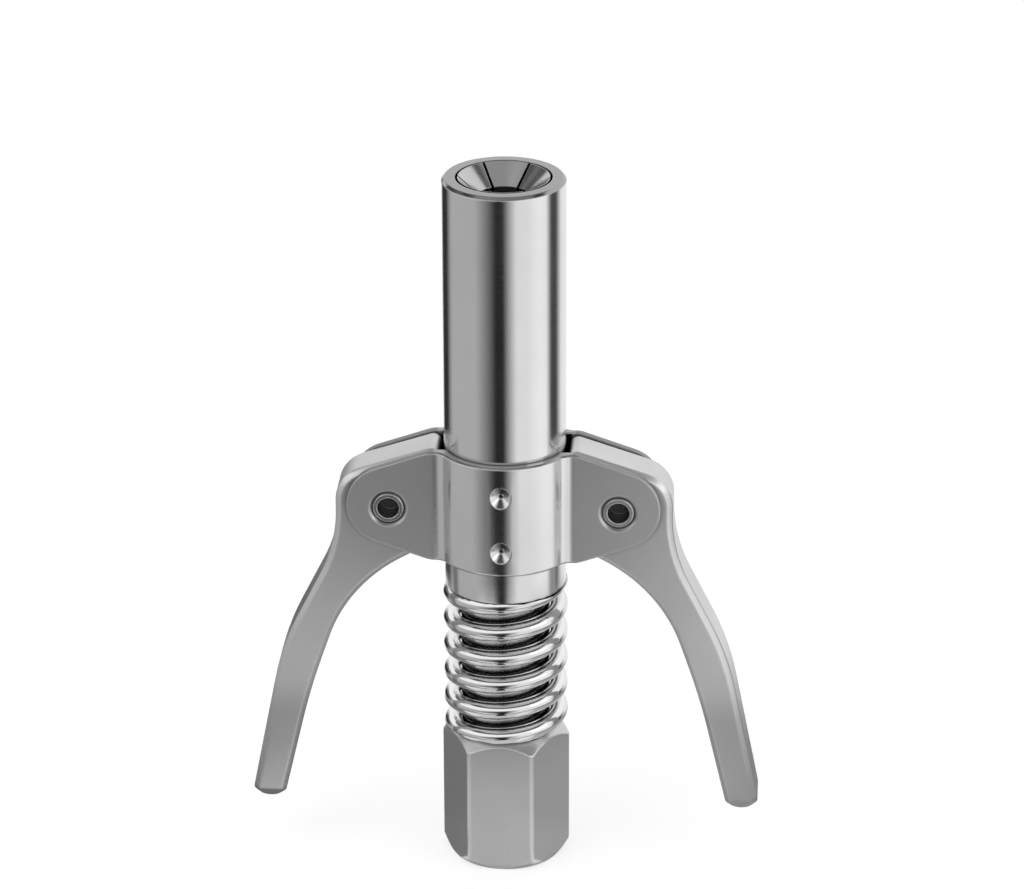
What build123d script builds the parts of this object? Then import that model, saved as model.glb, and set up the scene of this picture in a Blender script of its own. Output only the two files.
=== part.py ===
from build123d import *

import os
from math import cos, radians, sin, sqrt, tan

# A double-lever quick-release grease coupler, in millimetres.
# The origin is the centre of the hex body's lower face, +Z runs up to the nose,
# the stake marks face -Y and the two levers lie along +X and -X.

# Whole coupler
overall_height = 90.0
slide_clearance = 0.05
screwed_gap = 0.02
seat_gap = 0.05

# Hex body
hex_height = 18.0
hex_across_flats = 14.0
hex_corner_break = 0.15
hex_turn = -2.5
hex_foot_radius = 6.9
hex_foot_cut = 1.4
spring_seat_radius = 6.1
hex_top_cut = 1.9
thread_core_radius = 4.46
thread_chamfer = 0.6
inlet_radius = 1.6
socket_depth = 6.0
socket_floor = 2.5

# Stem tube
stem_radius = 5.5
spigot_radius = 4.7
valve_bore_radius = 2.9
valve_bore_length = 15.0
grease_passage_radius = 1.2
seal_bore_radius = 2.05
neck_radius = 3.9
neck_height = 2.8
flange_radius = 4.6
flange_height = 1.2
nose_radius = 3.3
nose_height = 2.9
toe_groove_radius = 4.3
toe_groove_width = 2.9

# Check valve
valve_seat_height = 4.6
valve_seat_bore = 1.2
valve_cone_height = 0.7
ball_radius = 2.0
check_wire_radius = 0.25
check_coil_radius = 1.4
check_pitch = 2.6

# Outer sleeve
sleeve_radius = 7.5
sleeve_length = 52.8
rim_break = 0.35
mouth_radius = 5.85
mouth_taper = 3.4
window_side_gap = 0.3
window_head = 5.2

# Coils of the three springs
steps_per_turn = 20
wire_sides = 6

# Main spring
main_wire_radius = 1.08
main_coil_radius = 6.68
main_pitch = 3.575
main_phase = 99.0

# Collar halves
collar_sheet = 1.0
collar_middle = 11.3
collar_half_height = 7.2
collar_bend_radius = 1.8
collar_edge_break = 0.2
ear_end_radius = 5.1
ear_slope = 19.0
pivot_drop = 0.4
stake_radius = 1.4
stake_floor_radius = 0.35
stake_depth = 0.8
stake_offset = 3.65

# Lever head and toe, about the pivot
pivot_reach = 14.1
lever_thickness = 6.0
lever_edge_break = 0.6
lever_top_slope = 18.2
lever_top_height = 5.5
lever_head_reach = 6.6
lever_head_rounding = 4.5
lever_crown_reach = 6.3
lever_crown_rounding = 1.0
lever_heel_reach = 5.3
lever_heel_rounding = 1.2
heel_drop = 4.0
toe_thickness = 4.4
toe_tip_gap = 0.25
toe_drop = 0.55
toe_height = 1.4
toe_rounding = 0.6
toe_land = 1.5
toe_back_slope = 65.0

# Lever handle: drops below the pivot, leans from the vertical, bend radii
neck_drop = 5.55
neck_bend = 19.5
elbow_drop = 19.6
elbow_bend = 35.5
outer_upper_lean = 26.8
outer_lower_lean = 11.35
outer_tip_drop = 39.75
inner_tip_drop = 40.0
tip_width = 4.1
tip_rounding = 0.7
tip_end_drop = 41.3
tip_end_rounding = 1.9
tip_bevel_drop = 39.6
tip_bevel_height = 1.25
tip_bevel_depth = 0.8
inner_knee_drop = 25.6
inner_knee_bend = 90.0
inner_elbow_drop = 10.95
inner_elbow_bend = 20.0
inner_lower_lean = 13.35
inner_upper_lean = 18.9
heel_lean = 61.0
heel_corner_reach = 4.2

# Pivot pins
pin_radius = 2.0
pin_recess_radius = 1.35
pin_recess_depth = 2.8
pin_set_back = 0.15
pin_chamfer = 0.2
pin_hole_chamfer = 0.35

# Jaws, named by where they sit, in turn round the axis from +Y
jaw_places = ("back", "back_left", "front_left", "front", "front_right", "back_right")
jaw_length = 19.0
jaw_foot_radius = 5.4
jaw_foot_height = 5.0
jaw_waist_radius = 4.95
jaw_waist_taper = 1.5
jaw_head_height = 5.5
jaw_head_taper = 3.5
jaw_head_radius = 5.5
jaw_rim_radius = 5.55
jaw_slit = 0.35
funnel_radius = 5.5
funnel_depth = 2.3
lip_radius = 3.0
lip_height = 0.8
catch_height = 0.6
chamber_radius = 3.4
chamber_depth = 8.1
jaw_bore_radius = 3.75
hook_gap = 0.08

# Jaw spreader ring
spreader_wire_radius = 0.42
spreader_groove_radius = 2.85

# Nipple seal and its holder
holder_shank_length = 18.7
holder_bore_radius = 0.9
holder_flange_radius = 3.6
holder_flange_height = 1.1
holder_spigot_radius = 1.5
holder_spigot_height = 0.5
holder_stop_gap = 0.1
seal_radius = 3.2
seal_height = 1.6
seal_lip_rounding = 0.2
seal_cup_radius = 2.5
seal_cup_floor = 0.95
o_ring_wire_radius = 0.35
o_ring_lift = 2.0
seal_wire_radius = 0.3
seal_coil_radius = 1.5
seal_pitch = 2.6
seal_spring_length = 8.0

# Heights worked out from the sizes above
socket_z = hex_height - socket_depth
thread_depth = socket_z - socket_floor
valve_ledge_z = socket_z + valve_bore_length
sleeve_foot_z = overall_height - sleeve_length
collar_z = sleeve_foot_z + collar_middle
pivot_z = collar_z - pivot_drop
toe_shoulder_z = pivot_z - toe_drop + seat_gap
jaw_foot_z = overall_height - jaw_length
neck_z = jaw_foot_z - 2 * hook_gap
flange_z = neck_z + neck_height
nose_z = flange_z + flange_height
stem_top_z = nose_z + nose_height
spreader_z = nose_z + nose_height / 2
jaw_ledge_z = overall_height - chamber_depth
seal_z = jaw_ledge_z - holder_stop_gap
flange_foot_z = seal_z - holder_flange_height
holder_foot_z = flange_foot_z - holder_shank_length
seal_spring_z = holder_foot_z - seal_spring_length

# Radii and widths worked out from the sizes above
toe_reach = pivot_reach - toe_groove_radius - toe_tip_gap
sleeve_bore = stem_radius + slide_clearance
collar_inner = sleeve_radius + screwed_gap
collar_outer = collar_inner + collar_sheet
ear_inner_y = lever_thickness / 2 + slide_clearance
ear_outer_y = ear_inner_y + collar_sheet
holder_shank_radius = seal_bore_radius - slide_clearance
o_ring_radius = seal_bore_radius - screwed_gap - o_ring_wire_radius
spreader_radius = spreader_groove_radius + screwed_gap + spreader_wire_radius


def turned(*corners):
    """A turned solid from its half section, given as (radius, height) corners."""
    return revolve(Plane.XZ * make_face(Polyline(*corners, close=True)), Axis.Z)


def bored(radius, low, high):
    """The round space of a bore on the Z axis between two heights."""
    return Pos(0, 0, (low + high) / 2) * Cylinder(radius, high - low)


def side_view(shape, thickness):
    """A flat outline in X and Z given a thickness that is centred on Y."""
    return extrude(Plane.XZ * shape, thickness / 2, both=True)


def ring(radius, wire_radius, height):
    """A rubber ring round the Z axis, with a six-sided section."""
    section = Plane.XZ * (Pos(radius, height) * RegularPolygon(wire_radius, 6))
    return revolve(section, Axis.Z)


def coil_spring(coil_radius, wire_radius, pitch, foot, head, phase=0.0):
    """A right-handed spring with ground ends between two heights, in short straight steps."""
    turns = (head - foot + 2 * wire_radius) / pitch
    steps = round(turns * steps_per_turn)
    points = []
    for step in range(steps + 1):
        turned_by = phase + 360 * turns * step / steps
        height = foot - wire_radius + pitch * turns * step / steps
        points.append(Vector(coil_radius, 0, height).rotate(Axis.Z, turned_by))
    path = Polyline(*points)
    section = Plane(origin=path @ 0, z_dir=path % 0) * RegularPolygon(wire_radius, wire_sides)
    coil = sweep(section, path, transition=Transition.RIGHT)
    return coil & bored(coil_radius + 3 * wire_radius, foot, head)


def hex_body():
    """The hex that the grease hose screws into, with a socket for the stem on top."""
    corner_radius = hex_across_flats / 2 / cos(radians(30)) - hex_corner_break
    mouth_of_thread = thread_core_radius + thread_chamfer
    bar = Rot(0, 0, hex_turn) * RegularPolygon(hex_across_flats / 2, 6, major_radius=False)
    prism = extrude(bar, hex_height)
    turning = turned(
        (0, 0),
        (hex_foot_radius, 0),
        (corner_radius, hex_foot_cut),
        (corner_radius, hex_height - hex_top_cut),
        (spring_seat_radius, hex_height),
        (0, hex_height),
    )
    thread_bore = turned(
        (0, 0),
        (mouth_of_thread, 0),
        (thread_core_radius, thread_chamfer),
        (thread_core_radius, thread_depth),
        (0, thread_depth),
    )
    body = (prism & turning) - thread_bore
    body -= bored(inlet_radius, thread_depth, socket_z)
    return body - bored(spigot_radius + screwed_gap, socket_z, hex_height)


def stem_tube():
    """The inner tube: spigot, toe groove, and the neck and nose that carry the jaws."""
    groove_foot = toe_shoulder_z - toe_groove_width
    ring_space = spreader_wire_radius + screwed_gap
    body = turned(
        (0, socket_z),
        (spigot_radius, socket_z),
        (spigot_radius, hex_height),
        (stem_radius, hex_height),
        (stem_radius, groove_foot),
        (toe_groove_radius, groove_foot),
        (toe_groove_radius, toe_shoulder_z),
        (stem_radius, toe_shoulder_z),
        (stem_radius, neck_z),
        (neck_radius, neck_z),
        (neck_radius, flange_z),
        (flange_radius, flange_z),
        (flange_radius, nose_z),
        (nose_radius, nose_z),
        (nose_radius, spreader_z - ring_space),
        (spreader_groove_radius, spreader_z - ring_space),
        (spreader_groove_radius, spreader_z + ring_space),
        (nose_radius, spreader_z + ring_space),
        (nose_radius, stem_top_z),
        (0, stem_top_z),
    )
    body -= bored(valve_bore_radius, socket_z, valve_ledge_z)
    body -= bored(grease_passage_radius, valve_ledge_z, seal_spring_z)
    return body - bored(seal_bore_radius, seal_spring_z, stem_top_z)


def valve_seat():
    """The ring clamped under the stem, with the cone that the check ball closes."""
    top = socket_z + valve_seat_height
    outer = valve_bore_radius - screwed_gap
    return turned(
        (valve_seat_bore, socket_z),
        (outer, socket_z),
        (outer, top),
        (valve_seat_bore + valve_cone_height, top),
        (valve_seat_bore, top - valve_cone_height),
    )


def ball_centre_z():
    """Height of the check ball's centre as it rests on the 45 degree cone of its seat."""
    cone_apex = socket_z + valve_seat_height - valve_cone_height - valve_seat_bore
    return cone_apex + (ball_radius + screwed_gap) * sqrt(2)


def check_ball():
    """The ball that keeps grease from running back into the gun."""
    return Pos(0, 0, ball_centre_z()) * Sphere(ball_radius)


def check_spring():
    """The spring that holds the check ball on its seat."""
    inside = check_coil_radius - check_wire_radius
    foot = ball_centre_z() + sqrt(ball_radius**2 - inside**2) + seat_gap
    head = valve_ledge_z - seat_gap
    return coil_spring(check_coil_radius, check_wire_radius, check_pitch, foot, head)


def toe_underside_drop(reach):
    """How far below the pivot the toe's underside lies, at a distance in from the pivot."""
    tip = toe_drop + toe_height
    fall = (heel_drop - tip) / (toe_reach - lever_heel_reach)
    return tip + fall * (toe_reach - reach)


def outer_sleeve():
    """The sliding tube, with a tapered mouth over the jaws and a window for each toe."""
    body = turned(
        (sleeve_bore, sleeve_foot_z),
        (sleeve_radius, sleeve_foot_z),
        (sleeve_radius, overall_height),
        (mouth_radius, overall_height),
        (sleeve_bore, overall_height - mouth_taper),
    )
    rim = body.edges().filter_by(GeomType.CIRCLE).sort_by(SortBy.RADIUS)[-2:].sort_by(Axis.Z)[-1]
    body = chamfer(rim, rim_break)
    # The toe rests on the window's lower edge, which stops the sleeve and the levers.
    foot = pivot_z - toe_underside_drop(pivot_reach - sleeve_radius) - seat_gap
    head = pivot_z + window_head
    width = toe_thickness + 2 * window_side_gap
    return body - Pos(0, 0, (foot + head) / 2) * Box(3 * sleeve_radius, width, head - foot)


def main_spring():
    """The spring between hex body and sleeve that keeps the jaws locked."""
    foot = hex_height + seat_gap
    head = sleeve_foot_z - seat_gap
    return coil_spring(main_coil_radius, main_wire_radius, main_pitch, foot, head, main_phase)


def collar_outline():
    """The collar seen from the front, about its own middle height."""
    slope = radians(ear_slope)
    ear_root = pivot_reach - (collar_half_height * cos(slope) - ear_end_radius) / sin(slope)
    top = [
        (0, collar_half_height),
        (ear_root, collar_half_height),
        (pivot_reach + ear_end_radius * sin(slope), ear_end_radius * cos(slope)),
    ]
    bottom = [(x, -z) for x, z in reversed(top)]
    right = make_face(Polyline(*top, *bottom, close=True))
    right += Pos(pivot_reach, 0) * Circle(ear_end_radius)
    return right + mirror(right, Plane.YZ)


def collar_half():
    """The collar's pressed front half: half a band with a flat ear on each side."""
    ear_reach = pivot_reach + ear_end_radius
    below = Pos(0, -ear_inner_y - ear_reach) * Rectangle(3 * ear_reach, 2 * ear_reach)
    band = (Circle(collar_outer) - Circle(collar_inner)) & below
    plates = Pos(0, -(ear_inner_y + ear_outer_y) / 2) * Rectangle(2 * ear_reach, collar_sheet)
    plan = band + (plates - Circle(collar_inner))
    bends = [
        corner
        for corner in plan.vertices()
        if abs(corner.Y + ear_outer_y) < 0.001 and abs(corner.X) < collar_outer
    ]
    plan = fillet(bends, collar_bend_radius)
    body = Pos(0, 0, collar_z) * extrude(plan, 2 * collar_half_height, both=True)
    body &= Pos(0, 0, collar_z) * side_view(collar_outline(), 4 * collar_outer)
    rims = [
        edge
        for edge in body.edges().filter_by(GeomType.CIRCLE)
        if abs(edge.radius - collar_outer) < 0.001 and edge.length > collar_outer
    ]
    body = chamfer(rims, collar_edge_break)
    for offset in (-stake_offset, stake_offset):
        body -= stake_mark(pivot_z + offset)
    for x in (-pivot_reach, pivot_reach):
        body -= pin_hole(x)
    return body


def stake_mark(z):
    """The conical punch mark that stakes the collar to the sleeve, on the -Y side."""
    slope_length = stake_depth + collar_sheet
    widening = (stake_radius - stake_floor_radius) / stake_depth
    cone = Cone(
        stake_floor_radius,
        stake_floor_radius + widening * slope_length,
        slope_length,
        align=(Align.CENTER, Align.CENTER, Align.MIN),
    )
    return Pos(0, -collar_outer + stake_depth, z) * Rot(90, 0, 0) * cone


def pin_hole(x):
    """A pin's hole through the ear on the -Y side, with its chamfered rim."""
    radius = pin_radius + screwed_gap
    hole = Pos(x, -ear_outer_y, pivot_z) * Rot(90, 0, 0) * Cylinder(radius, 3 * collar_sheet)
    rim = Cone(
        radius,
        radius + 2 * pin_hole_chamfer,
        2 * pin_hole_chamfer,
        align=(Align.CENTER, Align.CENTER, Align.MIN),
    )
    return hole + Pos(x, -ear_outer_y + pin_hole_chamfer, pivot_z) * Rot(90, 0, 0) * rim


def pivot_pin(x):
    """A pin with a round recess in each end, pressed into both ears."""
    half_length = ear_outer_y - pin_set_back
    pin = Cylinder(pin_radius, 2 * half_length)
    pin = chamfer(pin.edges().filter_by(GeomType.CIRCLE), pin_chamfer)
    recess = Cylinder(pin_recess_radius, 2 * pin_recess_depth)
    pin -= Pos(0, 0, half_length) * recess
    pin -= Pos(0, 0, -half_length) * recess
    return Pos(x, 0, pivot_z) * Rot(90, 0, 0) * pin


def handle_corners():
    """Corners of the lever about its pivot: outwards, upwards and the bend radius."""
    slope = radians(lever_top_slope)
    crown_top = (lever_top_height + lever_crown_reach * sin(slope)) / cos(slope)
    head_top = (lever_top_height - lever_head_reach * sin(slope)) / cos(slope)
    elbow = lever_head_reach + (elbow_drop - neck_drop) * tan(radians(outer_upper_lean))
    outer_tip = elbow + (outer_tip_drop - elbow_drop) * tan(radians(outer_lower_lean))
    inner_tip = outer_tip - tip_width
    inner_knee = inner_tip - (inner_tip_drop - inner_knee_drop) * tan(radians(inner_lower_lean))
    inner_elbow = inner_knee - (inner_knee_drop - inner_elbow_drop) * tan(radians(inner_upper_lean))
    heel_corner_drop = inner_elbow_drop - (inner_elbow + heel_corner_reach) / tan(radians(heel_lean))
    return [
        (-lever_crown_reach, crown_top, lever_crown_rounding),
        (lever_head_reach, head_top, lever_head_rounding),
        (lever_head_reach, -neck_drop, neck_bend),
        (elbow, -elbow_drop, elbow_bend),
        (outer_tip, -outer_tip_drop, tip_rounding),
        ((outer_tip + inner_tip) / 2, -tip_end_drop, tip_end_rounding),
        (inner_tip, -inner_tip_drop, tip_rounding),
        (inner_knee, -inner_knee_drop, inner_knee_bend),
        (inner_elbow, -inner_elbow_drop, inner_elbow_bend),
        (-heel_corner_reach, -heel_corner_drop, lever_heel_rounding),
        (-lever_heel_reach, -heel_drop, lever_heel_rounding),
    ]


def rounded_face(corners):
    """A flat face from (x, y, radius) corners."""
    points = [(x, y) for x, y, radius in corners]
    radii = [radius for x, y, radius in corners]
    return make_face(FilletPolyline(*points, radius=radii, close=True))


def toe_corners():
    """Corners of the toe that pushes under the stem's shoulder."""
    back_reach = toe_reach - toe_rounding - toe_land
    rise = (back_reach - lever_heel_reach) * tan(radians(toe_back_slope))
    rooted = lever_heel_reach - lever_edge_break
    return [
        (-toe_reach, -toe_drop, toe_rounding),
        (-back_reach, -toe_drop, 0),
        (-lever_heel_reach, -toe_drop + rise, 0),
        (-rooted, -toe_drop + rise, 0),
        (-rooted, -toe_underside_drop(lever_heel_reach), 0),
        (-lever_heel_reach, -toe_underside_drop(lever_heel_reach), 0),
        (-toe_reach, -toe_drop - toe_height, toe_rounding),
    ]


def tip_bevel(side):
    """The wedge cut from the tip's lower edge, on the -Y face (side -1) or the +Y face (side 1)."""
    face = side * lever_thickness / 2
    slope = tip_bevel_depth / tip_bevel_height
    reach = 2 * tip_bevel_height
    wedge = Polyline(
        (face, -tip_bevel_drop),
        (face - side * slope * reach, -tip_bevel_drop - reach),
        (face + side * reach, -tip_bevel_drop - reach),
        (face + side * reach, -tip_bevel_drop),
        close=True,
    )
    return extrude(Plane.YZ * make_face(wedge), 3 * pivot_reach)


def right_lever():
    """The lever on the +X side: head between the ears, toe inwards, handle outwards and down."""
    body = side_view(rounded_face(handle_corners()), lever_thickness)
    rims = [edge for edge in body.edges() if abs(abs(edge.center().Y) - lever_thickness / 2) < 0.001]
    body = chamfer(rims, lever_edge_break)
    body -= tip_bevel(-1) + tip_bevel(1)
    body += side_view(rounded_face(toe_corners()), toe_thickness)
    body -= Rot(90, 0, 0) * Cylinder(pin_radius + slide_clearance, 2 * lever_thickness)
    return Pos(pivot_reach, 0, pivot_z) * body


def jaw_ring():
    """All six jaws in one turned ring, before the slits are cut."""
    lip_z = overall_height - funnel_depth
    catch_z = lip_z - lip_height
    waist_z = jaw_foot_z + jaw_foot_height
    head_z = overall_height - jaw_head_height
    return turned(
        (jaw_rim_radius, overall_height),
        (funnel_radius, overall_height),
        (lip_radius, lip_z),
        (lip_radius, catch_z),
        (chamber_radius, catch_z - catch_height),
        (chamber_radius, jaw_ledge_z),
        (jaw_bore_radius, jaw_ledge_z),
        (jaw_bore_radius, nose_z + hook_gap),
        (flange_radius + hook_gap, nose_z + hook_gap),
        (flange_radius + hook_gap, flange_z - hook_gap),
        (neck_radius + hook_gap, flange_z - hook_gap),
        (neck_radius + hook_gap, jaw_foot_z),
        (jaw_foot_radius, jaw_foot_z),
        (jaw_foot_radius, waist_z),
        (jaw_waist_radius, waist_z + jaw_waist_taper),
        (jaw_waist_radius, head_z),
        (jaw_head_radius, head_z + jaw_head_taper),
    )


def jaw(whole_ring, angle):
    """One jaw: the stretch of the ring between two slits, centred on an angle."""
    half = radians(180 / len(jaw_places))
    apex = jaw_slit / 2 / sin(half)
    far = 2 * sleeve_radius
    sector = make_face(
        Polyline(
            (apex, 0),
            (apex + far * cos(half), -far * sin(half)),
            (apex + far * cos(half), far * sin(half)),
            close=True,
        )
    )
    block = Rot(0, 0, angle) * extrude(sector, 2 * overall_height)
    return whole_ring & block


def jaw_spreader_ring():
    """The rubber ring on the stem's nose that pushes the jaws open."""
    return ring(spreader_radius, spreader_wire_radius, spreader_z)


def seal_holder():
    """The bored piston that carries the nipple seal and slides in the stem."""
    groove_z = holder_foot_z + o_ring_lift
    groove_half = o_ring_wire_radius + screwed_gap
    groove_radius = o_ring_radius - groove_half
    spigot_top = seal_z + holder_spigot_height
    return turned(
        (holder_bore_radius, holder_foot_z),
        (holder_shank_radius, holder_foot_z),
        (holder_shank_radius, groove_z - groove_half),
        (groove_radius, groove_z - groove_half),
        (groove_radius, groove_z + groove_half),
        (holder_shank_radius, groove_z + groove_half),
        (holder_shank_radius, flange_foot_z),
        (holder_flange_radius, flange_foot_z),
        (holder_flange_radius, seal_z),
        (holder_spigot_radius, seal_z),
        (holder_spigot_radius, spigot_top),
        (holder_bore_radius, spigot_top),
    )


def nipple_seal():
    """The rubber cup that closes round the tip of the grease nipple."""
    top = seal_z + seal_height
    spigot_space = holder_spigot_radius + screwed_gap
    spigot_top = seal_z + holder_spigot_height + screwed_gap
    return turned(
        (spigot_space, seal_z),
        (seal_radius, seal_z),
        (seal_radius, top - seal_lip_rounding),
        (seal_radius - seal_lip_rounding, top),
        (seal_cup_radius, top),
        (holder_bore_radius, seal_z + seal_cup_floor),
        (holder_bore_radius, spigot_top),
        (spigot_space, spigot_top),
    )


def seal_o_ring():
    """The ring that seals the holder in the stem's bore."""
    return ring(o_ring_radius, o_ring_wire_radius, holder_foot_z + o_ring_lift)


def seal_spring():
    """The spring that pushes the seal up against the nipple."""
    foot = seal_spring_z + seat_gap
    head = holder_foot_z - seat_gap
    return coil_spring(seal_coil_radius, seal_wire_radius, seal_pitch, foot, head)


def all_parts():
    """Every node's name with its solid."""
    half_turn = Rot(0, 0, 180)
    collar = collar_half()
    lever = right_lever()
    whole_ring = jaw_ring()
    parts = {
        "hex_body": hex_body(),
        "stem_tube": stem_tube(),
        "valve_seat": valve_seat(),
        "check_ball": check_ball(),
        "check_spring": check_spring(),
        "outer_sleeve": outer_sleeve(),
        "main_spring": main_spring(),
        "collar_front": collar,
        "collar_back": half_turn * collar,
        "pivot_pin_right": pivot_pin(pivot_reach),
        "pivot_pin_left": pivot_pin(-pivot_reach),
        "lever_right": lever,
        "lever_left": half_turn * lever,
        "jaw_spreader_ring": jaw_spreader_ring(),
        "seal_holder": seal_holder(),
        "nipple_seal": nipple_seal(),
        "seal_o_ring": seal_o_ring(),
        "seal_spring": seal_spring(),
    }
    for number, place in enumerate(jaw_places):
        angle = 90 + number * 360 / len(jaw_places)
        parts[f"jaw_{place}"] = jaw(whole_ring, angle)
    return parts


os.makedirs("parts", exist_ok=True)
for name, solid in all_parts().items():
    export_step(solid, f"parts/{name}.step")
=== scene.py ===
"""Dresses the grease coupler in plated steel, winds its springs and its thread, and sets a pale studio."""

import logging
from dataclasses import dataclass, field
from enum import Enum
from math import ceil, cos, pi, radians, sin

import bpy
from mathutils import Matrix, Vector


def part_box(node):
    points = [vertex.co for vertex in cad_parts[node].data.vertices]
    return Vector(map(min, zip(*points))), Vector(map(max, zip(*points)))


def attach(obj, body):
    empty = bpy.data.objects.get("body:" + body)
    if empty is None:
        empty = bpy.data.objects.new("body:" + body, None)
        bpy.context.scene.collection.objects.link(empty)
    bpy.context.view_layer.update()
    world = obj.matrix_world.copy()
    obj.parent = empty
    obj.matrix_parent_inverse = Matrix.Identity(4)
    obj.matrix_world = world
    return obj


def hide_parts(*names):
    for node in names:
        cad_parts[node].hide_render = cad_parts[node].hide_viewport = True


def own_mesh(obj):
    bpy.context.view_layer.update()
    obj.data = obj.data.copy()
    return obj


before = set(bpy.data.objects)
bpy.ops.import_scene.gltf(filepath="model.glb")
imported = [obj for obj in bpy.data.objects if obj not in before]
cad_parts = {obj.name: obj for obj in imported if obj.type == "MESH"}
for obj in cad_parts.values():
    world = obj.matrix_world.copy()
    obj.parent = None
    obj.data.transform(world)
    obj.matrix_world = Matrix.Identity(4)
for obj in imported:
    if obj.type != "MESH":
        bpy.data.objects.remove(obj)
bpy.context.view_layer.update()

LOG = logging.getLogger("grease_coupler")
Colour = tuple[float, float, float]
Socket = bpy.types.NodeSocket

BLACK: Colour = (0.0, 0.0, 0.0)
WHITE: Colour = (1.0, 1.0, 1.0)
UNIT = (0.0, 1.0)
FULL_TURN = 360.0
COUPLER_MIDDLE = (0.0, 0.0, 0.045)

# The range that most of a noise texture lies in.
NOISE_RANGE = (0.3, 0.7)
# How far an edge's rounded normal agrees with the face's where wear and the painted highlight start, and
# where they are full.
EDGE_WEAR_AND_HIGHLIGHT_RANGE = (0.995, 0.90)
# How open a crevice's bottom is, and a place that the painted shade no longer reaches.
CREVICE_RANGE = (0.25, 0.9)
EDGE_SAMPLES = 6
CREVICE_SAMPLES = 8
# How far tool marks are squeezed along their run.
MARK_SQUEEZE = 0.02


class Lay(Enum):
    """Which way the tool marks or the grain of a metal surface run."""

    TURNED = "round the coupler's axis"
    DRAWN = "along the coupler's axis"
    TUMBLED = "every way"


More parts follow.
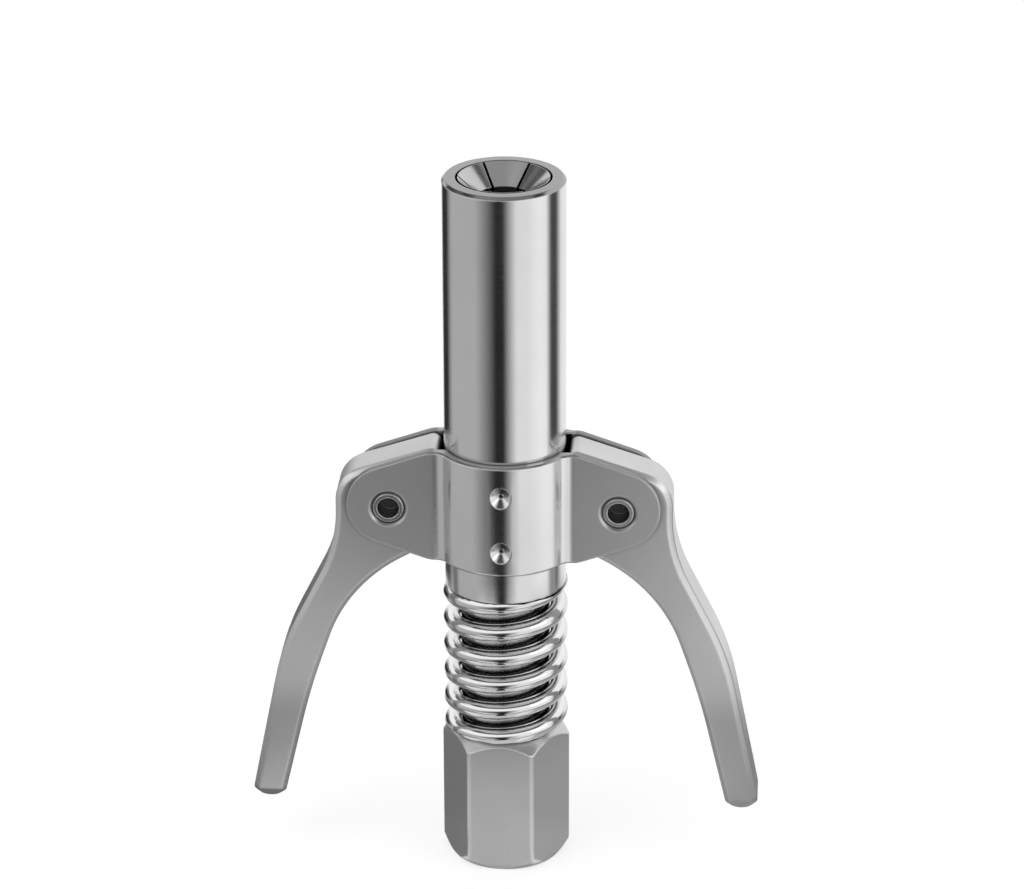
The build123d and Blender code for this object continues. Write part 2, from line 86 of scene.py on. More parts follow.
@dataclass
class NodeBench:
    """A material's node tree, with short calls that add one node each and link it."""

    name: str
    tree: bpy.types.NodeTree | None = None
    material: bpy.types.Material = field(init=False)
    shader: bpy.types.Node = field(init=False)
    places: Socket = field(init=False)
    facing: Socket = field(init=False)

    def __post_init__(self) -> None:
        """Starts an empty tree with a shader and object coordinates, unless a tree is given."""
        if self.tree is not None:
            return
        self.material = bpy.data.materials.new(self.name)
        self.material.use_nodes = True
        self.tree = self.material.node_tree
        self.tree.nodes.clear()
        output = self.add("ShaderNodeOutputMaterial")
        self.shader = self.add("ShaderNodeBsdfPrincipled")
        self.tree.links.new(self.shader.outputs["BSDF"], output.inputs["Surface"])
        coordinates = self.add("ShaderNodeTexCoord")
        self.places = coordinates.outputs["Object"]
        self.facing = coordinates.outputs["Normal"]

    def add(self, kind: str) -> bpy.types.Node:
        """Adds a node.

        Args:
            kind: the node's type.

        Returns:
            The node.
        """
        return self.tree.nodes.new(kind)

    def put(self, socket: Socket, value: object) -> None:
        """Links or sets one input.

        Args:
            socket: the input.
            value: another node's output, or a constant.
        """
        if isinstance(value, Socket):
            self.tree.links.new(value, socket)
        else:
            socket.default_value = value

    def stretched(self, scale: Vector) -> Socket:
        """Object coordinates multiplied along each axis.

        Args:
            scale: the factors along X, Y and Z.

        Returns:
            The stretched coordinates.
        """
        mapping = self.add("ShaderNodeMapping")
        self.put(mapping.inputs["Vector"], self.places)
        self.put(mapping.inputs["Scale"], scale)
        return mapping.outputs["Vector"]

    def noise(self, vector: Socket, scale: float, detail: float = 3.0) -> Socket:
        """A noise texture.

        Args:
            vector: the coordinates it reads.
            scale: cells per metre.
            detail: octaves.

        Returns:
            A value around 0.5.
        """
        texture = self.add("ShaderNodeTexNoise")
        self.put(texture.inputs["Vector"], vector)
        self.put(texture.inputs["Scale"], scale)
        self.put(texture.inputs["Detail"], detail)
        return texture.outputs["Fac"]

    def remap(self, value: Socket, old: tuple[float, float], new: tuple[float, float]) -> Socket:
        """A value stretched from one range to another.

        Args:
            value: the input.
            old: its range.
            new: the range it is given, within which it stays.

        Returns:
            The stretched value.
        """
        node = self.add("ShaderNodeMapRange")
        self.put(node.inputs["Value"], value)
        self.put(node.inputs["From Min"], old[0])
        self.put(node.inputs["From Max"], old[1])
        self.put(node.inputs["To Min"], new[0])
        self.put(node.inputs["To Max"], new[1])
        return node.outputs["Result"]

    def joined(self, first: object, second: object, operation: str = "ADD") -> Socket:
        """Two values joined by one operation.

        Args:
            first: a value.
            second: a value.
            operation: the name of the operation.

        Returns:
            The result.
        """
        node = self.add("ShaderNodeMath")
        node.operation = operation
        self.put(node.inputs[0], first)
        self.put(node.inputs[1], second)
        return node.outputs["Value"]

    def mixed(self, share: Socket, low: Colour, high: Colour) -> Socket:
        """Two colours mixed by a value.

        Args:
            share: 0 for the first colour and 1 for the second.
            low: the first colour.
            high: the second colour.

        Returns:
            The colour.
        """
        node = self.add("ShaderNodeMix")
        node.data_type = "RGBA"
        self.put(node.inputs["Factor"], share)
        # The colour sockets share their names with those of the node's other kinds, so they go by number.
        self.put(node.inputs[6], (*low, 1.0))
        self.put(node.inputs[7], (*high, 1.0))
        return node.outputs[2]

    def rounded_edges(self, radius: float) -> Socket:
        """A normal that turns softly over the solid's edges.

        Args:
            radius: the edge's radius, in metres.

        Returns:
            The normal.
        """
        node = self.add("ShaderNodeBevel")
        node.samples = EDGE_SAMPLES
        self.put(node.inputs["Radius"], radius)
        return node.outputs["Normal"]

    def bump(self, height: Socket, depth: float, normal: Socket) -> Socket:
        """A fine relief.

        Args:
            height: the relief, from 0 to 1.
            depth: its depth, in metres.
            normal: the normal it is laid on.

        Returns:
            The normal.
        """
        node = self.add("ShaderNodeBump")
        self.put(node.inputs["Height"], height)
        self.put(node.inputs["Distance"], depth)
        self.put(node.inputs["Strength"], 1.0)
        self.put(node.inputs["Normal"], normal)
        return node.outputs["Normal"]

    def worn_and_highlighted_edges(self, radius: float) -> Socket:
        """How close a place is to an outer edge, read from the normal rounded over it.

        Args:
            radius: how far the wear and the painted highlight reach, in metres.

        Returns:
            A value from 0 to 1.
        """
        geometry = self.add("ShaderNodeNewGeometry")
        dot = self.add("ShaderNodeVectorMath")
        dot.operation = "DOT_PRODUCT"
        self.put(dot.inputs[0], self.rounded_edges(radius))
        self.put(dot.inputs[1], geometry.outputs["Normal"])
        return self.remap(dot.outputs["Value"], EDGE_WEAR_AND_HIGHLIGHT_RANGE, UNIT)

    def crevice_painted_shade(self, reach: float, shade: float) -> Socket:
        """Painted shade: how clear of other metal a place is, darker where metal is near.

        Args:
            reach: how far the painted shade spreads from a crevice, in metres.
            shade: the value at the bottom of a crevice.

        Returns:
            A value from the shade to 1.
        """
        node = self.add("ShaderNodeAmbientOcclusion")
        node.samples = CREVICE_SAMPLES
        self.put(node.inputs["Distance"], reach)
        return self.remap(node.outputs["AO"], CREVICE_RANGE, (shade, 1.0))

    def scaled(self, colour: Socket, factor: Socket) -> Socket:
        """A colour made lighter or darker by a value.

        Args:
            colour: the colour.
            factor: the value.

        Returns:
            The colour.
        """
        node = self.add("ShaderNodeVectorMath")
        node.operation = "SCALE"
        self.put(node.inputs[0], colour)
        self.put(node.inputs["Scale"], factor)
        return node.outputs["Vector"]

    def part(self, vector: Socket, axis: str) -> Socket:
        """One part of a vector.

        Args:
            vector: the vector.
            axis: X, Y or Z.

        Returns:
            Its part along that axis.
        """
        axes = self.add("ShaderNodeSeparateXYZ")
        self.put(axes.inputs[0], vector)
        return axes.outputs[axis]


@dataclass(frozen=True)
class PlatedSteel:
    """Bare or plated steel, with its tool marks, faint stains, painted shade in crevices and edges
    lightened partly by wear and partly by a painted highlight.
    """

    name: str
    tone: float
    roughness: float
    lay: Lay = Lay.TUMBLED
    mark_depth: float = 0.000001
    edge_radius: float = 0.0002
    # Painted shade in crevices: how far it reaches and how dark it is at the bottom.
    painted_shade_reach: float = 0.0010
    painted_crevice_shade: float = 0.35
    # The tone of outer edges, lighter partly from wear and partly as a painted highlight.
    worn_tone: float = 0.88
    stain: float = 0.05
    stains_per_metre: float = 90.0
    marks_per_metre: float = 5000.0
    grain_per_metre: float = 6000.0
    mark_share: float = 0.7
    grain_share: float = 0.3
    roughness_spread: float = 0.05

    def build(self) -> bpy.types.Material:
        """Makes the material.

        Returns:
            The material.
        """
        bench = NodeBench(self.name)
        stains = bench.noise(bench.places, self.stains_per_metre, detail=4.0)
        marks = bench.noise(self._mark_places(bench), self.marks_per_metre, detail=2.0)
        grain = bench.noise(bench.places, self.grain_per_metre, detail=2.0)
        cloud = bench.remap(stains, NOISE_RANGE, UNIT)
        plated = bench.mixed(cloud, (self.tone - self.stain,) * 3, (self.tone,) * 3)
        bench.put(bench.shader.inputs["Base Color"], bench.scaled(plated, self._shade(bench)))
        bench.put(bench.shader.inputs["Metallic"], 1.0)
        spread = self.roughness_spread
        stained = bench.remap(stains, NOISE_RANGE, (spread / 2, -spread / 2))
        marked = bench.remap(marks, NOISE_RANGE, (-spread / 3, spread / 3))
        unevenness = bench.joined(stained, marked)
        bench.put(bench.shader.inputs["Roughness"], bench.joined(unevenness, self._even_roughness(bench)))
        cut = bench.joined(marks, self.mark_share, "MULTIPLY")
        relief = bench.joined(cut, bench.joined(grain, self.grain_share, "MULTIPLY"))
        soft = bench.rounded_edges(self.edge_radius)
        bench.put(bench.shader.inputs["Normal"], bench.bump(relief, self.mark_depth, soft))
        return bench.material

    def _shade(self, bench: NodeBench) -> Socket:
        """How much lighter or darker than the plating each place is: painted shade in crevices, and edges
        lightened by wear and a painted highlight.

        Args:
            bench: the material's nodes.

        Returns:
            The factor.
        """
        # Painted shade, darker where other metal is near.
        crevice_shade_factor = bench.crevice_painted_shade(self.painted_shade_reach, self.painted_crevice_shade)
        # Edges lightened, partly wear and partly a painted highlight.
        edge_wear_and_highlight = bench.remap(bench.worn_and_highlighted_edges(self.edge_radius), UNIT, (1.0, self.worn_tone / self.tone))
        return bench.joined(crevice_shade_factor, edge_wear_and_highlight, "MULTIPLY")

    def _even_roughness(self, bench: NodeBench) -> object:
        """The roughness before its marks and stains.

        Args:
            bench: the material's nodes.

        Returns:
            A number, or a value that differs from place to place.
        """
        return self.roughness

    def _mark_places(self, bench: NodeBench) -> Socket:
        """The coordinates that the tool marks read.

        Args:
            bench: the material's nodes.

        Returns:
            Coordinates squeezed along the marks.
        """
        if self.lay is Lay.TURNED:
            return bench.stretched(Vector((MARK_SQUEEZE, MARK_SQUEEZE, 1.0)))
        if self.lay is Lay.DRAWN:
            return bench.stretched(Vector((1.0, 1.0, MARK_SQUEEZE)))
        return bench.places


@dataclass(frozen=True)
class EndFaceShadedPlating(PlatedSteel):
    """Sleeve plating whose end face is painted darker than the rest: painted shade."""

    end_face_height: float = 0.0896
    end_face_fade: float = 0.0001
    end_face_painted_shade: float = 0.46

    def _shade(self, bench: NodeBench) -> Socket:
        """The factor of the plating, and a darker one on the end face: painted shade.

        Args:
            bench: the material's nodes.

        Returns:
            The factor.
        """
        # Painted shade on the end face, above this height.
        fade = (self.end_face_height, self.end_face_height + self.end_face_fade)
        end_face_shade = bench.remap(bench.part(bench.places, "Z"), fade, (1.0, self.end_face_painted_shade))
        return bench.joined(super()._shade(bench), end_face_shade, "MULTIPLY")


@dataclass(frozen=True)
class PressedPlating(PlatedSteel):
    """Collar plating, bright on the round band; the flat ears are satin and carry painted shade, and the
    sheet's up- and down-facing cut edges are darker, partly dull and partly painted shade.
    """

    bend_start: float = 0.0081
    bend_end: float = 0.0087
    ear_roughness: float = 0.42
    ear_painted_shade: float = 0.78
    cut_facing: tuple[float, float] = (0.4, 0.7)
    cut_edge_dulling_and_shade: float = 0.5

    def _shade(self, bench: NodeBench) -> Socket:
        """The factor of the plating, and darker ones on the ears, which is painted shade, and on the up-
        and down-facing cut edges, which is partly dullness and partly painted shade.

        Args:
            bench: the material's nodes.

        Returns:
            The factor.
        """
        # Up- and down-facing faces darkened: partly dull cut edges, partly painted shade.
        upward = bench.joined(bench.part(bench.facing, "Z"), 0.0, "ABSOLUTE")
        cut = bench.remap(upward, self.cut_facing, (1.0, self.cut_edge_dulling_and_shade))
        # The ears darkened against the band: painted shade.
        pressed = bench.joined(cut, self._from_band_to_ears(bench, 1.0, self.ear_painted_shade), "MULTIPLY")
        return bench.joined(super()._shade(bench), pressed, "MULTIPLY")

    def _even_roughness(self, bench: NodeBench) -> object:
        """The roughness, which grows from the band to the ears.

        Args:
            bench: the material's nodes.

        Returns:
            A value that differs from place to place.
        """
        return self._from_band_to_ears(bench, self.roughness, self.ear_roughness)

    def _from_band_to_ears(self, bench: NodeBench, on_band: float, on_ears: float) -> Socket:
        """A value that changes where the round band bends into the ears.

        Args:
            bench: the material's nodes.
            on_band: the value on the band.
            on_ears: the value on the ears.

        Returns:
            The value.
        """
        reach = bench.joined(bench.part(bench.places, "X"), 0.0, "ABSOLUTE")
        return bench.remap(reach, (self.bend_start, self.bend_end), (on_band, on_ears))


@dataclass(frozen=True)
class LowerEndShadedPlating(PlatedSteel):
    """Lever plating, darker on its lower end: painted shade."""

    lower_end_height: float = 0.0218
    lower_end_fade: float = 0.0022
    lower_end_painted_shade: float = 0.76

    def _shade(self, bench: NodeBench) -> Socket:
        """The factor of the plating, and a darker one on the lower end: painted shade.

        Args:
            bench: the material's nodes.

        Returns:
            The factor.
        """
        # Painted shade: darker below this height.
        fade = (self.lower_end_height - self.lower_end_fade, self.lower_end_height + self.lower_end_fade)
        lower_end_shade = bench.remap(bench.part(bench.places, "Z"), fade, (self.lower_end_painted_shade, 1.0))
        return bench.joined(super()._shade(bench), lower_end_shade, "MULTIPLY")


@dataclass(frozen=True)
class OilProofRubber:
    """Matt black rubber with a faint mould grain."""

    name: str = "oil_proof_rubber"
    tone: Colour = (0.018, 0.018, 0.019)
    worn_tone: Colour = (0.045, 0.044, 0.043)
    roughness: float = 0.55
    worn_roughness: float = 0.65
    clouds_per_metre: float = 400.0
    grain_per_metre: float = 4000.0
    grain_depth: float = 0.00002
    edge_radius: float = 0.00015

    def build(self) -> bpy.types.Material:
        """Makes the material.

        Returns:
            The material.
        """
        bench = NodeBench(self.name)
        cloud = bench.noise(bench.places, self.clouds_per_metre)
        grain = bench.noise(bench.places, self.grain_per_metre)
        bench.put(bench.shader.inputs["Base Color"], bench.mixed(cloud, self.tone, self.worn_tone))
        uneven = bench.remap(cloud, NOISE_RANGE, (self.roughness, self.worn_roughness))
        bench.put(bench.shader.inputs["Roughness"], uneven)
        soft = bench.rounded_edges(self.edge_radius)
        bench.put(bench.shader.inputs["Normal"], bench.bump(grain, self.grain_depth, soft))
        return bench.material


@dataclass
class Finishes:
    """Every finish of the coupler, each made once."""

    sleeve: bpy.types.Material = field(init=False)
    hex: bpy.types.Material = field(init=False)
    stem: bpy.types.Material = field(init=False)
    collar: bpy.types.Material = field(init=False)
    lever: bpy.types.Material = field(init=False)
    pin: bpy.types.Material = field(init=False)
    wire: bpy.types.Material = field(init=False)
    jaw: bpy.types.Material = field(init=False)
    ground: bpy.types.Material = field(init=False)
    rubber: bpy.types.Material = field(init=False)

    def __post_init__(self) -> None:
        """Builds the materials."""
        self.sleeve = EndFaceShadedPlating(
            "bright_sleeve_plating", tone=0.83, roughness=0.14, lay=Lay.TURNED, painted_shade_reach=0.0008,
            painted_crevice_shade=0.25, worn_tone=0.84).build()
        self.hex = PlatedSteel(
            "satin_hex_plating", tone=0.66, roughness=0.30, lay=Lay.DRAWN, edge_radius=0.00035).build()
        self.stem = PlatedSteel(
            "bright_stem_plating", tone=0.62, roughness=0.16, lay=Lay.TURNED, painted_crevice_shade=0.30).build()
        self.collar = PressedPlating(
            "pressed_collar_plating", tone=0.82, roughness=0.15, edge_radius=0.0003, painted_shade_reach=0.0012,
            painted_crevice_shade=0.15).build()
        self.lever = LowerEndShadedPlating(
            "cast_lever_plating", tone=0.74, roughness=0.38, edge_radius=0.0005, mark_depth=0.000002,
            painted_crevice_shade=0.2).build()
        self.pin = PlatedSteel(
            "pin_steel", tone=0.62, roughness=0.28, painted_shade_reach=0.0030, painted_crevice_shade=0.2).build()
        self.wire = PlatedSteel(
            "drawn_spring_wire", tone=0.86, roughness=0.10, edge_radius=0.0001,
            mark_depth=0.0000003).build()
        self.jaw = PlatedSteel(
            "hardened_jaw_steel", tone=0.58, roughness=0.20, lay=Lay.TURNED, edge_radius=0.0001,
            worn_tone=0.68).build()
        self.ground = PlatedSteel(
            "ground_valve_steel", tone=0.72, roughness=0.22, lay=Lay.TURNED, edge_radius=0.0001).build()
        self.rubber = OilProofRubber().build()


def dress(node_name: str, material: bpy.types.Material) -> None:
    """Gives a CAD node its finish.

    Args:
        node_name: the node.
        material: its finish.
    """
    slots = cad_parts[node_name].data.materials
    slots.clear()
    slots.append(material)
    LOG.info("%s dressed in %s", node_name, material.name)


def placed(name: str) -> bpy.types.Object:
    """Takes the primitive that was just added, with its place moved into its mesh.

    Args:
        name: its new name.

    Returns:
        The piece, with its origin at the frame's origin.
    """
    bpy.ops.object.transform_apply(location=True, rotation=True, scale=True)
    piece = bpy.context.active_object
    piece.name = name
    piece.data.name = name
    return piece


@dataclass
class Helix:
    """A closed bar of round or angular section, wound round the Z axis and cut flat at both ends."""

    name: str
    radius: float
    section_radius: float
    pitch: float
    foot: float
    head: float
    phase: float = 0.0
    section_sides: int = 20
    steps_per_turn: int = 64
    merge_distance: float = 0.000001
    smooth_angle: float = radians(40.0)

    def build(self) -> bpy.types.Object:
        """Winds the bar and grinds its ends.

        Returns:
            The piece.
        """
        across, along = self.radius * cos(self.phase), self.radius * sin(self.phase)
        bpy.ops.object.select_all(action="DESELECT")
        bpy.ops.mesh.primitive_circle_add(
            vertices=self.section_sides,
            radius=self.section_radius,
            location=(across, along, self.foot - self.section_radius),
            rotation=(pi / 2, pi, self.phase),
        )
        piece = placed(self.name)
        winding = piece.modifiers.new("winding", "SCREW")
        winding.axis = "Z"
        winding.screw_offset = self.pitch
        winding.iterations = ceil((self.head - self.foot + 2 * self.section_radius) / self.pitch)
        winding.steps = self.steps_per_turn
        winding.render_steps = self.steps_per_turn
        bpy.ops.object.modifier_apply(modifier=winding.name)
        bpy.ops.object.mode_set(mode="EDIT")
        self._grind(self.foot, below=True)
        self._grind(self.head, below=False)
        bpy.ops.mesh.select_all(action="SELECT")
        bpy.ops.mesh.remove_doubles(threshold=self.merge_distance)
        bpy.ops.mesh.normals_make_consistent(inside=False)
        bpy.ops.object.mode_set(mode="OBJECT")
        bpy.ops.object.shade_smooth_by_angle(angle=self.smooth_angle)
        return piece

    @staticmethod
    def _grind(height: float, below: bool) -> None:
        """Cuts the bar level at a height and closes the cut.

        Args:
            height: the height of the cut.
            below: whether the stretch below the cut goes, rather than the one above.
        """
        bpy.ops.mesh.select_all(action="SELECT")
        bpy.ops.mesh.bisect(
            plane_co=(0.0, 0.0, height),
            plane_no=(0.0, 0.0, 1.0),
            use_fill=True,
            clear_inner=below,
            clear_outer=not below,
        )


@dataclass
class Spring:
    """A drawn wire spring that takes the place of its CAD solid."""

    node: str
    joint: str
    travel: float
    coil_radius: float
    wire_radius: float
    pitch: float
    held_end: float
    phase: float = 0.0

    def build(self, material: bpy.types.Material) -> None:
        """Winds the wire between the ends of the CAD solid.

        Args:
            material: the wire's finish.
        """
        low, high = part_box(self.node)
        wire = Helix(
            f"{self.node}_wire", radius=self.coil_radius, section_radius=self.wire_radius,
            pitch=self.pitch, foot=low[2], head=high[2], phase=self.phase).build()
        wire.data.materials.append(material)
        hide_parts(self.node)
        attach(wire, "stem")
        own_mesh(wire)


@dataclass
class HexBody:
    """The hex at the foot, with the thread that the grease hose screws into."""

    thread_root: float = 0.00462
    thread_section: float = 0.00030
    thread_pitch: float = 0.0010
    thread_start: float = 0.0006
    thread_end: float = 0.0090
    thread_sides: int = 3

    def build(self, finishes: Finishes) -> None:
        """Dresses the hex and winds its thread.

        Args:
            finishes: the coupler's finishes.
        """
        dress("hex_body", finishes.hex)
        thread = Helix(
            "hose_thread", radius=self.thread_root, section_radius=self.thread_section,
            pitch=self.thread_pitch, foot=self.thread_start, head=self.thread_end,
            section_sides=self.thread_sides).build()
        thread.data.materials.append(finishes.hex)
        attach(thread, "stem")
        LOG.info("%s wound", thread.name)


@dataclass
class Stem:
    """The inner tube, with the main spring round it."""

    spring: Spring = field(default_factory=lambda: Spring(
        "main_spring", "sleeve_slide", travel=0.00344, coil_radius=0.00668, wire_radius=0.00108,
        pitch=0.003575, held_end=0.01805, phase=radians(99.0)))

    def build(self, finishes: Finishes) -> None:
        """Dresses the stem and winds its spring.

        Args:
            finishes: the coupler's finishes.
        """
        dress("stem_tube", finishes.stem)
        self.spring.build(finishes.wire)


@dataclass
class CheckValve:
    """The valve in the stem: a seat, a ball and a light spring."""

    spring: Spring = field(default_factory=lambda: Spring(
        "check_spring", "check_ball_slide", travel=0.0012, coil_radius=0.0014, wire_radius=0.00025,
        pitch=0.0026, held_end=0.02695))

    def build(self, finishes: Finishes) -> None:
        """Dresses the seat and the ball and winds the spring.

        Args:
            finishes: the coupler's finishes.
        """
        dress("valve_seat", finishes.ground)
        dress("check_ball", finishes.ground)
        self.spring.build(finishes.wire)


@dataclass
class Sleeve:
    """The sliding tube, with its pressed collar and the two pivot pins."""

    def build(self, finishes: Finishes) -> None:
        """Dresses the tube, the collar's halves and the pins.

        Args:
            finishes: the coupler's finishes.
        """
        dress("outer_sleeve", finishes.sleeve)
        for side in ("front", "back"):
            dress(f"collar_{side}", finishes.collar)
        for side in ("left", "right"):
            dress(f"pivot_pin_{side}", finishes.pin)


@dataclass
class Levers:
    """The two levers that pull the sleeve back."""

    def build(self, finishes: Finishes) -> None:
        """Dresses both levers.

        Args:
            finishes: the coupler's finishes.
        """
        for side in ("left", "right"):
            dress(f"lever_{side}", finishes.lever)


@dataclass
class JawSet:
    """The six jaws and the rubber ring that spreads them."""

    places: tuple[str, ...] = ("back", "back_left", "front_left", "front", "front_right", "back_right")

    def build(self, finishes: Finishes) -> None:
        """Dresses the jaws and their ring.

        Args:
            finishes: the coupler's finishes.
        """
        for place in self.places:
            dress(f"jaw_{place}", finishes.jaw)
        dress("jaw_spreader_ring", finishes.rubber)


@dataclass
class SealPack:
    """The sprung piston that carries the rubber cup for the nipple."""

    spring: Spring = field(default_factory=lambda: Spring(
        "seal_spring", "seal_slide", travel=0.0015, coil_radius=0.0015, wire_radius=0.0003,
        pitch=0.0026, held_end=0.05405))

    def build(self, finishes: Finishes) -> None:
        """Dresses the piston, the cup and the O-ring and winds the spring.

        Args:
            finishes: the coupler's finishes.
        """
        dress("seal_holder", finishes.ground)
        dress("nipple_seal", finishes.rubber)
        dress("seal_o_ring", finishes.rubber)
        self.spring.build(finishes.wire)


@dataclass
class Camera:
    """The camera at the photograph's viewing angle."""

    azimuth: float = radians(3.915)
    elevation: float = radians(24.327)
    roll: float = radians(-0.251)
    distance: float = 0.553
    aim: tuple[float, float, float] = COUPLER_MIDDLE
    lens: float = 157.8
    shift: tuple[float, float] = (0.00655, 0.07466)

    def build(self) -> None:
        """Adds the camera and looks through it."""
        back = Vector((
            sin(self.azimuth) * cos(self.elevation),
            -cos(self.azimuth) * cos(self.elevation),
            sin(self.elevation),
        ))
        right = Vector((cos(self.azimuth), sin(self.azimuth), 0.0))
        level = Matrix((right, back.cross(right), back)).transposed().to_4x4()
        data = bpy.data.cameras.new("photo_camera")
        data.lens = self.lens
        data.shift_x, data.shift_y = self.shift
        camera = bpy.data.objects.new("photo_camera", data)
        bpy.context.scene.collection.objects.link(camera)
        place = Matrix.Translation(Vector(self.aim) + back * self.distance)
        camera.matrix_world = place @ level @ Matrix.Rotation(self.roll, 4, "Z")
        bpy.context.scene.camera = camera


def glow(bench: NodeBench, colour: object) -> None:
    """Makes a material give off its own colour and take no light.

    Args:
        bench: the material's nodes.
        colour: a colour, or another node's output.
    """
    bench.put(bench.shader.inputs["Base Color"], (*BLACK, 1.0))
    bench.put(bench.shader.inputs["Specular IOR Level"], 0.0)
    bench.put(bench.shader.inputs["Emission Color"], colour)
    bench.put(bench.shader.inputs["Emission Strength"], 1.0)


def leave_to_mirrors(piece: bpy.types.Object) -> None:
    """Hides a piece of the studio from all but the metal's mirror images.

    Args:
        piece: the card or plate.
    """
    piece.visible_camera = False
    piece.visible_diffuse = False
    piece.visible_shadow = False


@dataclass(frozen=True)
class Card:
    """A grey card of a ring, between two angles from the front towards +X, in degrees."""

    start: float
    end: float
    grey: float


@dataclass(frozen=True)
class MirrorRing:
    """A ring of grey cards round the coupler, which only the metal's mirror images show."""

    name: str
    profile: tuple[tuple[float, float], ...]
    cards: tuple[Card, ...]
    segments: int = 72

    def build(self) -> None:
        """Stands the ring's cards up from its (radius, height) profile."""
        bpy.ops.object.select_all(action="DESELECT")
        (radius, height), *rest = self.profile
        bpy.ops.mesh.primitive_circle_add(vertices=self.segments, radius=radius, location=(0, 0, height))
        cards = placed(self.name)
        bpy.ops.object.mode_set(mode="EDIT")
        bpy.ops.mesh.select_all(action="SELECT")
        for next_radius, next_height in rest:
            bpy.ops.mesh.extrude_edges_indiv()
            bpy.ops.transform.resize(value=(next_radius / radius, next_radius / radius, 1.0))
            bpy.ops.transform.translate(value=(0.0, 0.0, next_height - height))
            radius, height = next_radius, next_height
        bpy.ops.object.mode_set(mode="OBJECT")
        cards.data.materials.append(self._material())
        leave_to_mirrors(cards)

    def _material(self) -> bpy.types.Material:
        """Makes the cards' finish, in which each card fades into the next.

        Returns:
            The material.
        """
        bench = NodeBench(self.name)
        towards_front = bench.joined(bench.part(bench.places, "Y"), -1.0, "MULTIPLY")
        turn = bench.joined(bench.part(bench.places, "X"), towards_front, "ARCTAN2")
        ramp = bench.add("ShaderNodeValToRGB")
        bench.put(ramp.inputs["Fac"], bench.remap(turn, (-pi, pi), UNIT))
        edges = [(edge, card.grey) for card in self.cards for edge in (card.start, card.end)]
        stops = ramp.color_ramp.elements
        while len(stops) < len(edges):
            stops.new(0.5)
        for stop, (edge, grey) in zip(stops, edges):
            stop.position = edge / FULL_TURN + 0.5
            stop.color = (grey, grey, grey, 1.0)
        glow(bench, ramp.outputs["Color"])
        return bench.material


@dataclass(frozen=True)
class MirrorPlate:
    """A small dark plate before the hex, which the spring's wire mirrors and the hex's faces don't."""

    name: str = "dark_plate"
    width: float = 0.0040
    length: float = 0.0170
    place: tuple[float, float, float] = (-0.0012, -0.0200, 0.0134)
    tilt: float = radians(18.0)
    turn: float = radians(-4.0)
    grey: float = 0.02

    def build(self) -> None:
        """Lays the plate down, seen by mirror images alone."""
        bpy.ops.object.select_all(action="DESELECT")
        lie = (self.tilt, 0.0, self.turn)
        bpy.ops.mesh.primitive_plane_add(size=1.0, location=self.place, rotation=lie)
        bpy.context.active_object.scale = (self.width, self.length, 1.0)
        plate = placed(self.name)
        bench = NodeBench(self.name)
        glow(bench, (self.grey, self.grey, self.grey, 1.0))
        plate.data.materials.append(bench.material)
        leave_to_mirrors(plate)


@dataclass(frozen=True)
class Softbox:
    """A square lamp that faces the coupler."""

    name: str
    place: tuple[float, float, float]
    size: float
    watts: float

    def build(self) -> None:
        """Hangs the lamp."""
        data = bpy.data.lights.new(self.name, "AREA")
        data.size = self.size
        data.energy = self.watts
        lamp = bpy.data.objects.new(self.name, data)
        lamp.location = self.place
        towards = Vector(COUPLER_MIDDLE) - Vector(self.place)
        lamp.rotation_euler = towards.to_track_quat("-Z", "Y").to_euler()
        bpy.context.scene.collection.objects.link(lamp)


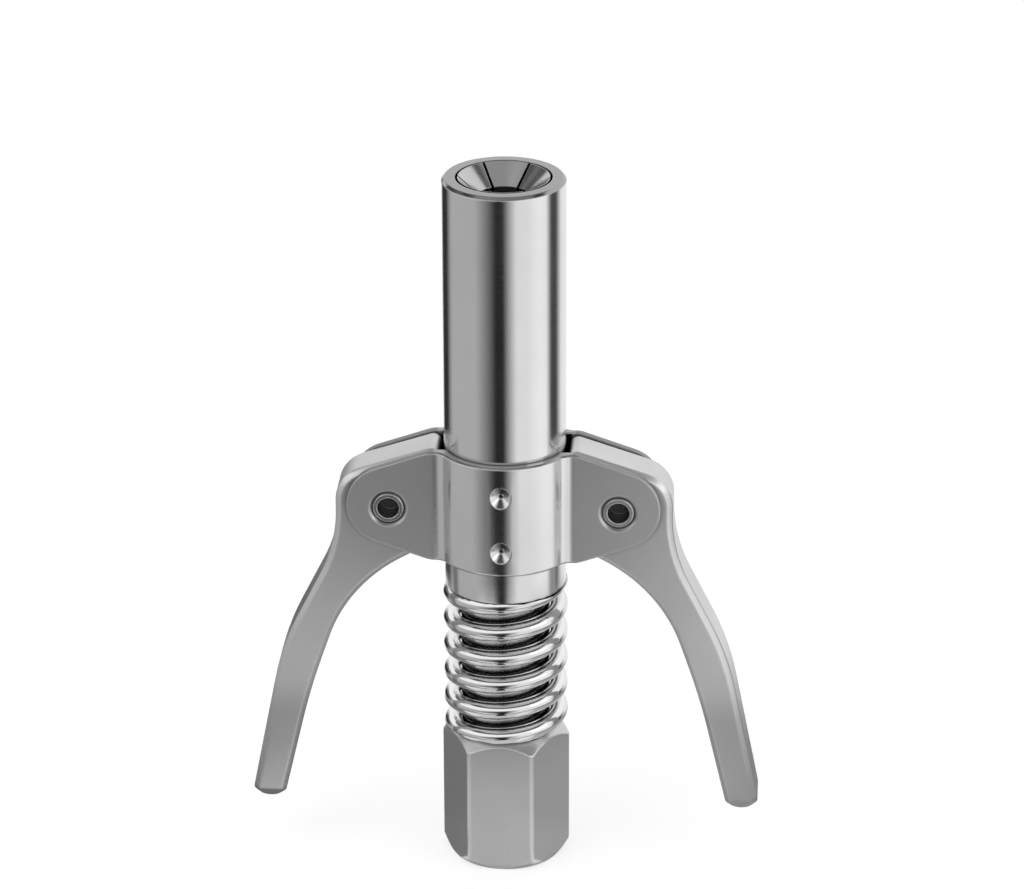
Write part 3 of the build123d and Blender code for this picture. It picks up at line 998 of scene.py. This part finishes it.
@dataclass
class Studio:
    """A pale floor in an even white room, two soft lamps, and grey cards for the metal to mirror."""

    floor_half_width: float = 3.0
    floor_tone: float = 0.35
    floor_glow: float = 0.70
    floor_roughness: float = 0.9
    floor_gloss: float = 0.1
    room_light: float = 0.8
    rings: tuple[MirrorRing, ...] = (
        MirrorRing("foot_cards", ((0.0071, 0.0001), (0.014, 0.0003)), (
            Card(-180.0, -53.0, 0.24), Card(-50.0, -41.0, 0.80), Card(-38.0, 30.0, 0.60),
            Card(33.0, 42.0, 0.90), Card(45.0, 180.0, 0.48))),
        MirrorRing("hex_cards", ((0.014, 0.0003), (0.042, 0.0008)), (
            Card(-180.0, -80.0, 0.22), Card(-72.0, -50.0, 0.80), Card(-42.0, 22.0, 0.62),
            Card(32.0, 50.0, 0.85), Card(60.0, 180.0, 0.44))),
        MirrorRing("handle_cards", ((0.042, 0.0008), (0.056, 0.0012)), (
            Card(-180.0, -150.0, 1.0), Card(-130.0, -26.0, 0.18), Card(-14.0, 2.0, 0.05),
            Card(14.0, 130.0, 0.22), Card(160.0, 180.0, 1.0))),
        MirrorRing("elbow_cards", ((0.056, 0.0012), (0.080, 0.002)), (
            Card(-180.0, -150.0, 1.0), Card(-130.0, -52.0, 0.42), Card(-40.0, -18.0, 1.0),
            Card(-8.0, 1.0, 0.02), Card(12.0, 44.0, 0.85), Card(60.0, 130.0, 0.44),
            Card(160.0, 180.0, 1.0))),
        MirrorRing("sleeve_cards", ((0.080, 0.002), (0.20, 0.020), (0.27, 0.034)), (
            Card(-180.0, -160.0, 1.0), Card(-147.0, -126.0, 0.03), Card(-108.0, -50.0, 0.46),
            Card(-12.0, 2.0, 0.02), Card(26.0, 45.0, 0.84), Card(68.0, 86.0, 0.98),
            Card(98.0, 114.0, 0.06), Card(132.0, 180.0, 0.92))),
        MirrorRing("far_cards", ((0.27, 0.034), (0.60, 0.16)), (
            Card(-180.0, -160.0, 0.95), Card(-147.0, -126.0, 0.18), Card(-108.0, -46.0, 0.55),
            Card(-10.0, 1.0, 0.15), Card(26.0, 86.0, 0.90), Card(98.0, 114.0, 0.18),
            Card(132.0, 180.0, 0.92))),
        MirrorRing("back_cards", ((0.34, 0.21), (0.34, 0.33)), (
            Card(-180.0, -165.0, 0.80), Card(-145.0, -110.0, 0.12), Card(-85.0, 160.0, 1.0),
            Card(172.0, 180.0, 0.80))),
        MirrorRing("upper_cards", ((0.34, 0.33), (0.34, 0.42)), (
            Card(-180.0, -160.0, 1.0), Card(-145.0, -100.0, 0.25), Card(-80.0, 70.0, 0.08),
            Card(90.0, 180.0, 1.0))),
        MirrorRing("roof_edge", ((0.36, 0.60), (0.56, 0.60)), (Card(-180.0, 180.0, 0.08),)),
        MirrorRing("roof_card", ((0.001, 0.60), (0.36, 0.60)), (Card(-180.0, 180.0, 0.42),)),
    )
    lamps: tuple[Softbox, ...] = (
        Softbox("key_softbox", (-0.45, -0.35, 0.75), size=0.5, watts=1.4),
        Softbox("fill_softbox", (0.6, -0.3, 0.45), size=0.45, watts=0.8),
    )

    def build(self) -> None:
        """Adds the floor, the room, the cards, the plate and the lamps."""
        self._floor()
        self._room()
        for ring in self.rings:
            ring.build()
        MirrorPlate().build()
        for lamp in self.lamps:
            lamp.build()
        bpy.context.scene.view_settings.view_transform = "Standard"

    @staticmethod
    def _seen_or_mirrored(bench: NodeBench) -> Socket:
        """Whether a ray comes from the camera, or off metal, or through glass.

        Args:
            bench: the nodes of the floor or the room.

        Returns:
            1 for such a ray and 0 for any other.
        """
        paths = bench.add("ShaderNodeLightPath")
        seen = bench.joined(paths.outputs["Is Camera Ray"], paths.outputs["Is Glossy Ray"], "MAXIMUM")
        return bench.joined(seen, paths.outputs["Is Transmission Ray"], "MAXIMUM")

    def _floor(self) -> None:
        """Adds the floor, which is white where it is seen or mirrored and keeps the shadow."""
        bpy.ops.mesh.primitive_plane_add(size=2 * self.floor_half_width)
        floor = placed("pale_floor")
        bench = NodeBench("pale_floor")
        bench.put(bench.shader.inputs["Base Color"], (self.floor_tone,) * 3 + (1.0,))
        bench.put(bench.shader.inputs["Roughness"], self.floor_roughness)
        bench.put(bench.shader.inputs["Specular IOR Level"], self.floor_gloss)
        bench.put(bench.shader.inputs["Emission Color"], (*WHITE, 1.0))
        shine = bench.joined(self._seen_or_mirrored(bench), self.floor_glow, "MULTIPLY")
        bench.put(bench.shader.inputs["Emission Strength"], shine)
        floor.data.materials.append(bench.material)

    def _room(self) -> None:
        """Gives the world an even light, white where it is seen or mirrored."""
        world = bpy.data.worlds.new("white_room")
        world.use_nodes = True
        bench = NodeBench("white_room", world.node_tree)
        dim = (self.room_light,) * 3
        tone = bench.mixed(self._seen_or_mirrored(bench), dim, WHITE)
        bench.put(world.node_tree.nodes["Background"].inputs["Color"], tone)
        bpy.context.scene.world = world


def main() -> None:
    """Builds the studio and the coupler's sub-assemblies, in order."""
    logging.basicConfig(level=logging.INFO, format="%(message)s")
    Camera().build()
    Studio().build()
    finishes = Finishes()
    for part in (HexBody(), Stem(), CheckValve(), Sleeve(), Levers(), JawSet(), SealPack()):
        part.build(finishes)


if __name__ == "__main__":
    main()
